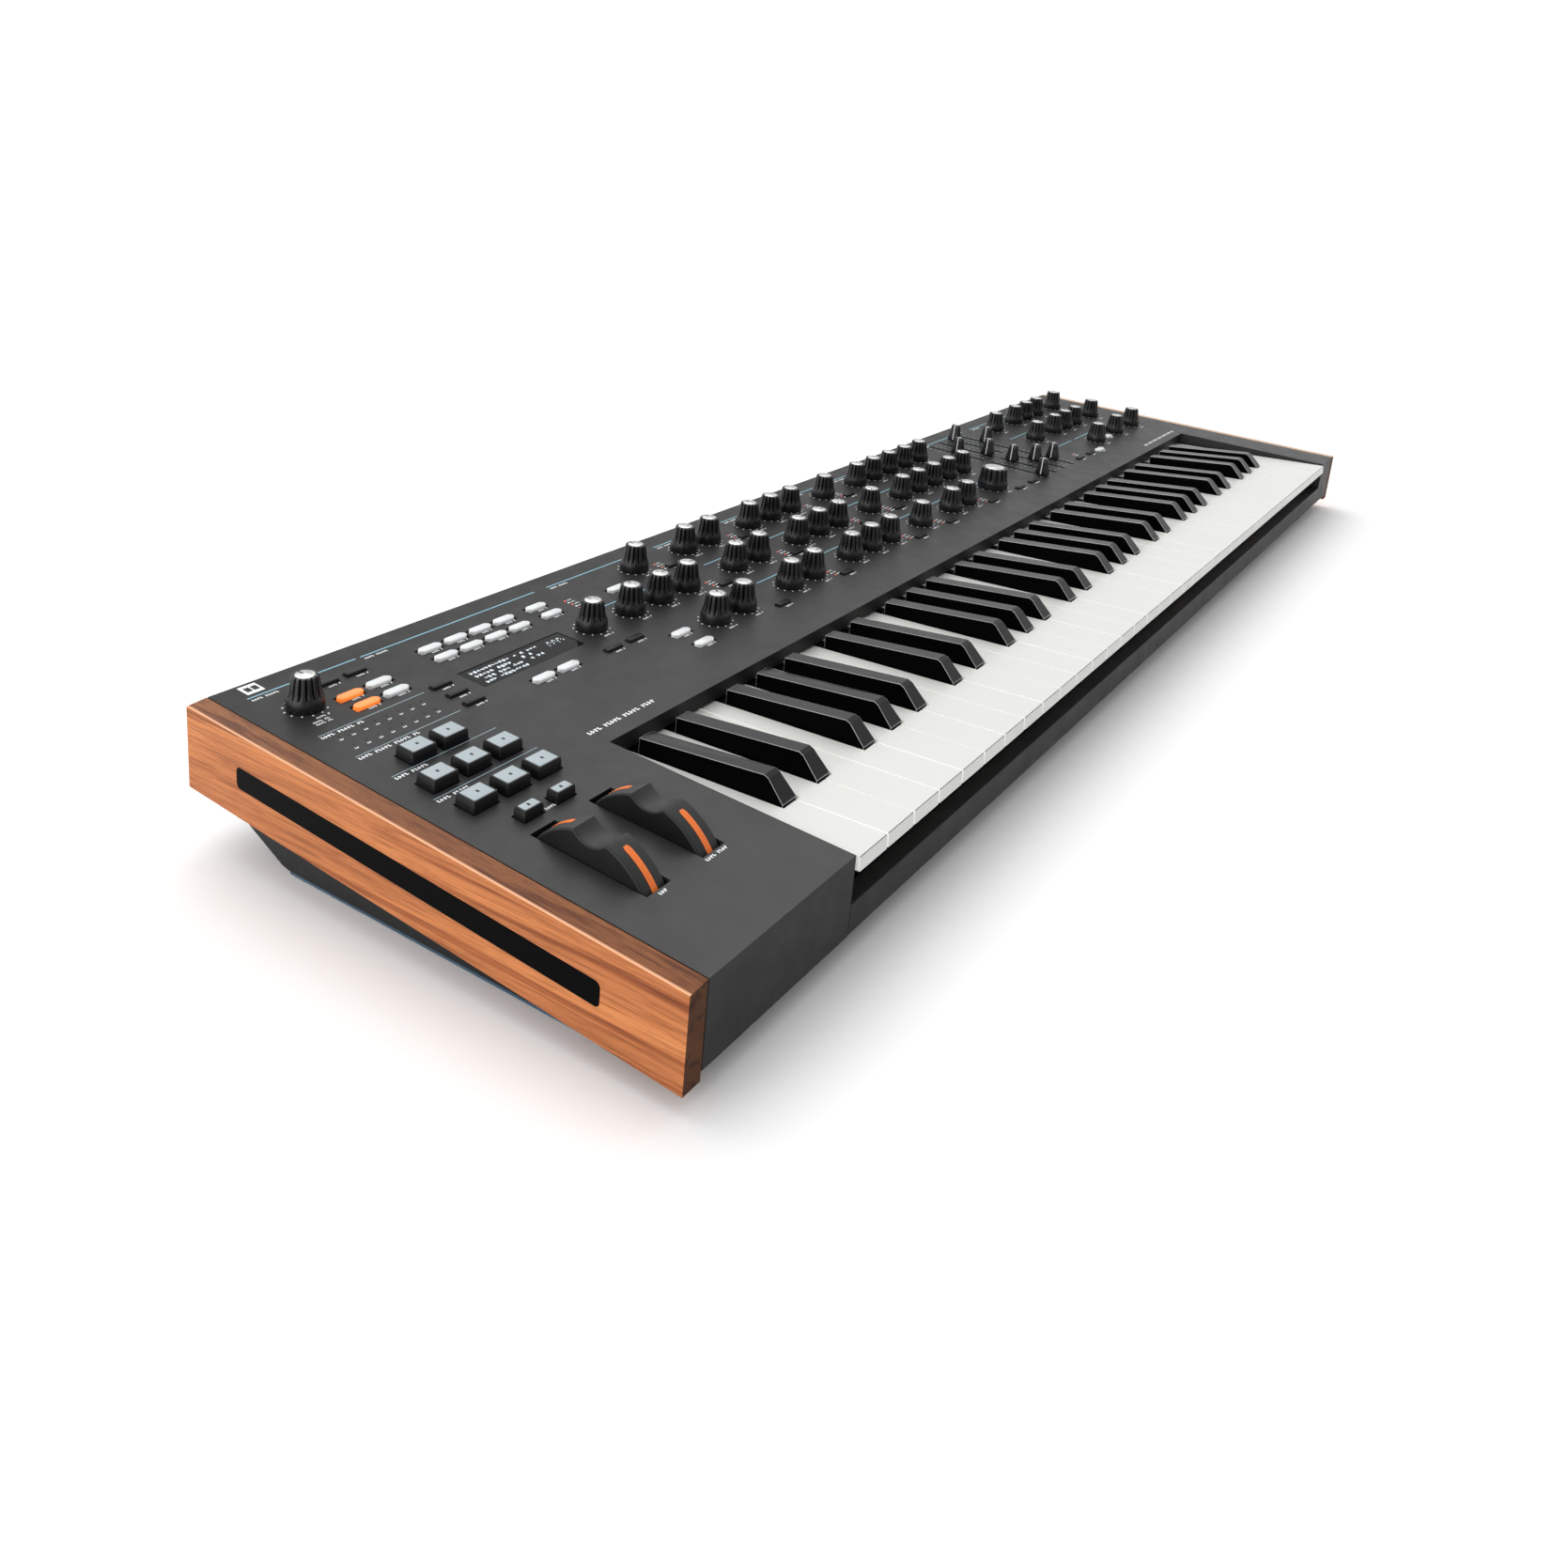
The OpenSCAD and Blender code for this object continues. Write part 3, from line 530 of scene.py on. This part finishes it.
def knob_shape(bm, matrix, r):
    """Bell skirt that runs up into a fluted grip, a bright disc on top and a dark pointer in it."""
    around = FLUTES * GROOVE
    top = r * (BIG_GRIP if r > BIG_KNOB_R else SMALL_GRIP)
    rings = [ring_circle(r - k * (r - top), z, around) for z, k in BELL]
    rings += [ring_circle(fluted(r - k * (r - top), cut), z, around) for z, k, cut in GRIP]
    rings.append(ring_circle(fluted(top - 0.1, 0.6), KNOB_TOP - 0.1, around))
    rings.append(ring_circle(top * 0.80, KNOB_TOP, around))
    rings.append(ring_circle(top * 0.78, KNOB_TOP - 0.25, around))
    add_loft(bm, rings, matrix, pick=painted_groove_shade_slot)
    disc = top * 0.76
    add_loft(bm, [ring_circle(disc, KNOB_TOP - 0.3), ring_circle(disc, KNOB_TOP + 0.12),
                  ring_circle(disc - 0.2, KNOB_TOP + 0.25)], matrix, 1)
    add_slab(bm, (1.0, disc * 0.7, 0.04), (0, disc * 0.6, KNOB_TOP + 0.24), matrix, 0)
    for side in (-1, 1):
        add_slab(bm, (0.25, disc * 0.8, 0.03), (side * disc * 0.45, -disc * 0.1, KNOB_TOP + 0.24), matrix, 0)


def knobs():
    """One piece for the fixed small knobs and one for each knob that turns."""
    body = bmesh.new()
    for box in islands("panel_knobs"):
        spin = Matrix.Rotation(random.uniform(-2.2, 2.2), 4, "Z")
        knob_shape(body, on_panel(centre_of(box)) @ spin, (box[1] - box[0]).x / MM / 2)
    make_piece("small_knobs", body, ("knob", "cap", "groove"), "chassis", ("panel_knobs",))
    for node in MOVING_KNOBS:
        box = max(islands(node), key=lambda b: b[1].x - b[0].x)
        turned = bmesh.new()
        spin = Matrix.Rotation(random.uniform(-0.9, 0.9), 4, "Z")
        knob_shape(turned, on_panel(centre_of(box)) @ spin, (box[1] - box[0]).x / MM / 2)
        make_piece(node + "_grip", turned, ("knob", "cap", "groove"), node, (node,))


# ---------------------------------------------------------------- faders
def faders():
    """Flared caps with finger ribs at both ends and a white line over the middle."""
    for i in range(1, 9):
        node = f"fader_{i}"
        low, high = islands(node)[0]
        place = on_panel((low + high) / 2)
        top = high.z / MM
        bm = bmesh.new()
        flare = [(1.0, 7.2, 10.8), (1.5, 7.4, 11.0), (4.2, 7.0, 10.0), (7.5, 6.1, 8.4), (11.5, 5.5, 7.2),
                 (top - 0.5, 5.2, 6.9), (top, 4.7, 6.3)]
        add_loft(bm, [ring_rect(w, d, 0.8, z) for z, w, d in flare], place, 0)
        add_loft(bm, [ring_rect(1.2, 5.0, 0.3, z) for z in (-5, 1.2)], place, 0)
        for side in (-1, 1):
            for k in range(4):
                rib = (0, side * (5.25 - 0.62 * k), 4.2 + 2.3 * k)
                add_slab(bm, (4.6 - 0.1 * k, 0.35, 0.8), rib, place, 0)
        line_half = [(1.5, 3.74), (4.2, 3.54), (7.5, 3.09), (11.5, 2.79), (top - 0.5, 2.64),
                     (top + 0.05, 2.3)]
        for side in (-1, 1):
            corners = ((0.3, -0.4), (0, -0.4), (0, 0.4), (0.3, 0.4))
            rings = [[(side * (x - depth), y, z) for depth, y in corners] for z, x in line_half]
            add_loft(bm, rings, place, 1, smooth=False)
        add_slab(bm, (4.6, 0.8, 0.1), (0, 0, top - 0.04), place, 1)
        make_piece(node + "_cap", bm, ("knob", "ink_white"), node, (node,))


# ---------------------------------------------------------------- buttons and pads
STEM = 5                                     # depth of a button's stem under the panel


def pill_profile(top):
    """Height, inset from the side and corner radius of each ring of a lit button."""
    return [(-STEM, 0, 2.2), (top - 0.6, 0, 2.2), (top - 0.2, 0.2, 2.2), (top, 0.6, 2.2)]


def thin_profile(top):
    """The same for a narrow black button."""
    return [(-STEM, 0, 0.9), (top - 0.4, 0, 0.9), (top - 0.1, 0.2, 0.9), (top, 0.5, 0.9)]


def pad_profile(top):
    """The same for a pad or an octave button."""
    return [(-STEM, 0, 1.2), (0.4, 0, 1.2), (top - 1.5, 0.2, 1.2), (top - 1.3, 0.35, 1.2),
            (top - 0.5, 0.45, 1.2), (top - 0.1, 0.7, 1.1)]


def pressed_pieces(node, name, profile, materials, corner=5, extra=None):
    """A moulded piece in place of each solid of a button node, with corner facets at each corner."""
    bm = bmesh.new()
    for box in islands(node):
        place = on_panel(centre_of(box))
        size = (box[1] - box[0]) / MM
        add_loft(bm, [ring_rect(size.x - 2 * inset, size.y - 2 * inset, max(r - inset, 0.2), z, corner)
                      for z, inset, r in profile(size.z - STEM)], place, 0)
        if extra:
            extra(bm, place, size)
    make_piece(name, bm, materials, node, (node,))


def pad_insert(bm, place, size):
    """Translucent top of a pad, with a short stroke in its middle."""
    top = size.z - STEM
    w, d = size.x - 2.8, size.y - 2.8
    add_loft(bm, [ring_rect(w, d, 0.7, top - 0.5), ring_rect(w, d, 0.7, top - 0.12),
                  ring_rect(w - 0.4, d - 0.4, 0.6, top - 0.02)], place, 1)
    add_slab(bm, (1.3, 1.9, 0.02), (random.choice((-0.3, 0.2)), 0, top - 0.025), place, 0)


def buttons():
    pressed_pieces("white_buttons", "white_pills", pill_profile, ("pill",), 1)
    pressed_pieces("orange_buttons", "orange_pills", pill_profile, ("pill_orange",), 1)
    pressed_pieces("black_buttons", "black_pills", thin_profile, ("button",))
    pressed_pieces("pads", "pad_keys", pad_profile, ("pad_body", "pad"), extra=pad_insert)


# ---------------------------------------------------------------- wheels
WHEEL_R = 36.5
WHEEL_AXIS = (77.6, -23.2)                   # panel-frame Y and Z of the wheels' axle, mm
DIP_R = 12.6
DIP_DEPTH = 4.8
DIP_SOFT = 0.2                               # how far the dip's edge is rounded over
DIP_FADE = 3                                 # distance outside the dip from which the rim is plain
HUB_R = 9
STRIPES = ((-60, -21), (23, 44))             # start and end of each stripe, degrees from straight up


def rim_radius(phi):
    """Radius of the wheel at an angle from straight up, with the finger dip blended in."""
    reach = WHEEL_R + DIP_R - DIP_DEPTH
    side = DIP_R ** 2 - (reach * math.sin(phi)) ** 2
    if side <= 0 or math.cos(phi) < 0:
        return WHEEL_R
    cut = reach * math.cos(phi) - math.sqrt(side)
    gap = WHEEL_R - cut
    if gap <= -DIP_FADE:
        return WHEEL_R
    return WHEEL_R - 0.5 * (gap + math.sqrt(gap * gap + DIP_SOFT * DIP_SOFT)) + DIP_SOFT / 2


def wheel_outline(inset):
    """Side view of the wheel, Y and Z, as a closed list of points."""
    points = []
    steps = 96
    for i in range(steps + 1):
        phi = math.radians(-96 + 192 * i / steps)
        r = rim_radius(phi) - inset
        points.append((r * math.sin(phi), r * math.cos(phi)))
    for i in range(9):
        a = math.radians(-10 - 160 * i / 8)
        points.append(((HUB_R - inset) * math.cos(a), (HUB_R - inset) * math.sin(a)))
    return points


def stripe(bm, matrix, start, end, width=3.2, stand=0.12):
    """Coloured band let into the rim, between two angles from straight up."""
    rings = []
    steps = 14
    for i in range(steps + 1):
        phi = math.radians(start + (end - start) * i / steps)
        narrow = width / 2 - (0.5 if i in (0, steps) else 0)
        low, high = WHEEL_R - 0.4, WHEEL_R + stand
        rings.append([(x, r * math.sin(phi), r * math.cos(phi))
                      for x, r in ((-narrow, low), (narrow, low), (narrow, high), (-narrow, high))])
    add_loft(bm, rings, matrix, 1)


def wheels():
    """Tyres with rounded shoulders, a finger dip and two stripes."""
    for node in ("pitch_wheel", "mod_wheel"):
        low, high = islands(node)[0]
        half = (high.x - low.x) / MM / 2
        axis = PANEL @ Matrix.Translation(((low.x + high.x) / 2, WHEEL_AXIS[0] * MM, WHEEL_AXIS[1] * MM))
        place = axis @ Matrix.Scale(MM, 4)
        bm = bmesh.new()
        widths = [(-half, 1.0), (-half + 0.25, 0.45), (-half + 0.7, 0.1), (-half + 1.2, 0.0)]
        widths += [(-x, inset) for x, inset in reversed(widths)]
        rings = [[(x, y, z) for y, z in wheel_outline(inset)] for x, inset in widths]
        # the flat sides take the painted-shade rubber
        add_loft(bm, rings, place, 0, end_slot=2)
        for start, end in STRIPES:
            stripe(bm, place, start, end)
        make_piece(node + "_tyre", bm, ("rubber", "orange", "rubber_side_painted_shade"), node, (node,))


# ---------------------------------------------------------------- printing on the panel
INK_H = 0.05                                 # thickness of the ink, mm
FLAT = PANEL @ Matrix.Scale(MM, 4)


def dot(bm, x, y, r, slot=0):
    place = FLAT @ Matrix.Translation((x, y, 0))
    add_loft(bm, [ring_circle(r, 0.0, 10), ring_circle(r, INK_H, 10)], place, slot)


def line(bm, x0, x1, y, width, slot=0):
    add_slab(bm, (x1 - x0, width, INK_H), ((x0 + x1) / 2, y, 0), FLAT, slot)


def mark(bm, x, y, w, slot=0, tall=1.4):
    """A label from x to x + w, stood in for by a row of short strokes."""
    step = tall * 0.85
    for i in range(int(w / step)):
        if i % 6 == 4:
            continue
        lean = 0.25 * tall * (i % 3 - 1)
        at = x + step * (i + 0.5)
        add_slab(bm, (step * 0.38, tall, INK_H), (at - step * 0.2, y, 0), FLAT, slot)
        add_slab(bm, (step * 0.70, tall * 0.30, INK_H), (at + step * 0.05, y + lean, 0), FLAT, slot)


def knob_scale(bm, x, y, r):
    """Eleven dots round a knob and a label under it."""
    for i in range(11):
        a = math.radians(-50 - 28 * i)
        dot(bm, x + (r + 1.2) * math.cos(a), y + (r + 1.2) * math.sin(a), 0.52)
    mark(bm, x - 3.5, y - r - 4.0, 8, tall=1.5)


def lamp_stack(bm, x, y, rows):
    """A column of small lamps with a label stroke beside each."""
    for k in range(rows):
        dot(bm, x, y - 3.1 * k, 0.75, 2 if k % 2 == 0 else 0)
        mark(bm, x + 1.6, y - 3.1 * k, 5, 0, 1.1)


# start and end along X of the blue rules: at the rear, and across each block of knobs
SECTIONS = ((22, 84), (87, 212), (222, 298), (322, 392), (396, 474), (482, 536), (543, 680), (690, 776),
            (792, 838), (846, 990))
SUBSECTIONS = ((222, 306), (322, 392), (396, 474), (482, 536), (543, 680), (792, 838), (846, 990))
HEADINGS = ((235, 24), (208.5, 34), (184, 20), (157, 18))    # Y and label length, in the left block
LABELS = (                                   # X, Y, length and height of single labels
    (108.3, 148.3, 49, 2.7), (36, 44, 6, 1.8), (65.5, 44, 15, 1.8), (49, 117.5, 9, 1.7), (882, 146, 86, 2.6),
    (28.5, 246.8, 10, 1.5), (28.5, 244.4, 10, 1.5))
LAMP_COLUMNS = (                             # Y, lamps in a column and X of each column
    (268, 4, (299, 378, 474, 517)), (226, 4, (299, 378, 474, 517)), (182, 3, (372, 472, 521, 596, 790)),
    (266, 5, (215,)))
BADGE = (29.3, 296.2)


def headings(bm):
    """Blue rules over the panel's sections, and the labels that stand by themselves."""
    for x0, x1 in SECTIONS:
        line(bm, x0, x1, 288.2, 1.0, 1)
        mark(bm, x0 + 0.5, 285.2, 15, tall=1.7)
    for y, length in HEADINGS:
        line(bm, 22.5, 83.5, y, 0.55, 3)
        mark(bm, 22.5, y - 2.4, length, tall=2.1)
    for x0, x1 in SUBSECTIONS:
        line(bm, x0, x1, 245.2, 0.9, 1)
    for x0, x1 in SUBSECTIONS[1:]:           # the first block has no lower rule
        line(bm, x0, x1, 203.0, 0.9, 1)
    for x, y, length, tall in LABELS:
        mark(bm, x, y, length, tall=tall)


def voice_lamps(bm):
    """Two rows of eight lamps, each with a number stroke in front."""
    for i in range(8):
        x = 28 + 6.76 * i
        for y in (229.2, 218.4):
            dot(bm, x + 1.2, y, 0.8, 4)
            mark(bm, x - 0.8, y - 3.6, 2.6, tall=1.3)


def fader_scales(bm):
    """Ticks on both sides of each fader's slot."""
    for low, high in islands("slide_pots"):
        x = (low.x + high.x) / 2 / MM
        y0, y1 = low.y / MM + 6, high.y / MM - 6
        for i in range(11):
            y = y0 + i * (y1 - y0) / 10
            for side in (-1, 1):
                line(bm, x + side * 5.6 - 1.6, x + side * 5.6 + 1.6, y, 0.35 if i % 5 else 0.6, 3)


def button_labels(bm):
    """A label in front of each lit or black button."""
    for node, drop in (("white_buttons", 4.3), ("orange_buttons", 4.3), ("black_buttons", 4.2)):
        for box in islands(node):
            middle = centre_of(box) / MM
            mark(bm, middle.x - 2, middle.y - drop, 8, tall=1.4)


def badge(bm):
    """Plain square with two dark strokes, at the rear left corner."""
    x, y = BADGE
    add_slab(bm, (9.4, 9.4, INK_H), (x, y, 0), FLAT, 0)
    for offset in (-1.7, 2.1):
        add_slab(bm, (3.0, 4.6, 2 * INK_H), (x + offset, y, 0), FLAT, 4)


def printing():
    """All the ink on the panel, as one piece."""
    bm = bmesh.new()
    knob_boxes = islands("panel_knobs")
    knob_boxes += [max(islands(node), key=lambda b: b[1].x - b[0].x) for node in MOVING_KNOBS]
    for box in knob_boxes:
        middle = centre_of(box) / MM
        knob_scale(bm, middle.x, middle.y, (box[1].x - box[0].x) / MM / 2)
    headings(bm)
    voice_lamps(bm)
    fader_scales(bm)
    button_labels(bm)
    for y, rows, columns in LAMP_COLUMNS:
        for x in columns:
            lamp_stack(bm, x, y, rows)
    badge(bm)
    make_piece("panel_print", bm, ("ink_white", "ink_blue", "lamp_red", "ink_pale", "button"), "chassis", ())


# ---------------------------------------------------------------- display
def display():
    """Lit pixels on the window: four rows of strokes and a small curve at the right."""
    low, high = islands("display_window")[0]
    size = (high - low) / MM
    place = on_panel((low + high) / 2)
    top = high.z / MM
    bm = bmesh.new()
    for y, count in ((6.0, 19), (1.6, 16), (-2.4, 19), (-6.4, 12)):
        for column in range(count):
            if random.random() < 0.18:
                continue
            x = -size.x / 2 + 5 + 2.5 * column
            for part in range(3):
                tall = random.choice((0.8, 1.5, 2.4))
                middle = (x + 0.62 * part, y + random.uniform(-0.3, 0.3), top)
                add_slab(bm, (0.42, tall, 0.03), middle, place, 0)
    for i in range(24):
        x = size.x / 2 - 15 + 0.5 * i
        add_slab(bm, (0.6, 0.6, 0.03), (x, 1.0 + 4.4 * abs(math.sin(i * 0.42)), top), place, 0)
    make_piece("display_graphics", bm, ("pixels",), "chassis", ())


# ---------------------------------------------------------------- studio
def surroundings():
    """White sky, brightest behind the right end and dimmer in front."""
    world = bpy.data.worlds.new("studio")
    bpy.context.scene.world = world
    world.use_nodes = True
    nodes, links = world.node_tree.nodes, world.node_tree.links
    direction = nodes.new("ShaderNodeTexCoord")
    turned = nodes.new("ShaderNodeVectorMath")
    turned.operation = "DOT_PRODUCT"
    turned.inputs[1].default_value = (0.45, 0.85, 0.28)
    links.new(direction.outputs["Generated"], turned.inputs[0])
    half = nodes.new("ShaderNodeMapRange")
    half.inputs["From Min"].default_value = -1
    half.inputs["From Max"].default_value = 1
    links.new(turned.outputs["Value"], half.inputs["Value"])
    sky = ramp(nodes, links, half.outputs["Result"], [(0.0, (0.28, 0.28, 0.28)), (0.42, (0.72, 0.72, 0.72)),
                                                      (0.62, (1.0, 1.0, 1.0))])
    links.new(sky, nodes["Background"].inputs["Color"])
    nodes["Background"].inputs["Strength"].default_value = 1.06


def lamp(name, kind, place, target, power, size):
    """A sun, whose size is its angle, or an area light."""
    data = bpy.data.lights.new(name, kind)
    data.energy = power
    if kind == "SUN":
        data.angle = size
    else:
        data.size = size
    light = bpy.data.objects.new(name, data)
    bpy.context.scene.collection.objects.link(light)
    light.location = place
    light.rotation_euler = (Vector(target) - Vector(place)).to_track_quat("-Z", "Y").to_euler()


def studio():
    """Pale floor, sky, a soft sun and a broad light from the left."""
    floor_mesh = bpy.data.meshes.new("studio_floor")
    bm = bmesh.new()
    bmesh.ops.create_grid(bm, x_segments=1, y_segments=1, size=40)
    bm.to_mesh(floor_mesh)
    bm.free()
    floor = bpy.data.objects.new("studio_floor", floor_mesh)
    bpy.context.scene.collection.objects.link(floor)
    floor_mesh.materials.append(finish_material("floor_paper", (0.965, 0.965, 0.965), (0.7, 0.85), grain=60,
                                                relief=0.02, vary=0.004, cloud=1, specular=0.2))
    surroundings()
    lamp("sun", "SUN", (0.3, 0.5, 1.0), (0, 0, 0), 0.95, math.radians(60))
    lamp("left_light", "AREA", (-2.2, 0.1, 0.7), (-0.5, 0, 0), 14, 1.6)


def camera():
    """Camera beyond the left front corner; its place and axes are in the panel's frame, in metres."""
    data = bpy.data.cameras.new("camera")
    data.sensor_width = 36
    data.lens = 29.45
    data.shift_x = 0.0039
    data.shift_y = -0.2284
    data.clip_start = 0.01
    eye = bpy.data.objects.new("camera", data)
    bpy.context.scene.collection.objects.link(eye)
    right = Vector((0.56850918, -0.81843464, 0.08343893))
    down = Vector((-0.16509844, -0.21286293, -0.96303265))
    forward = Vector((0.80594033, 0.53371726, -0.25613681))
    turn = Matrix.Rotation(TILT, 3, "X")
    axes = Matrix((turn @ right, turn @ -down, turn @ -forward)).transposed().to_4x4()
    eye.matrix_world = Matrix.Translation(PANEL @ Vector((-0.30627, -0.21861, 0.30398))) @ axes
    bpy.context.scene.camera = eye


random.seed(7)
camera()
studio()
dress_frame()
knobs()
faders()
buttons()
wheels()
printing()
display()
bpy.context.scene.view_settings.view_transform = "Standard"
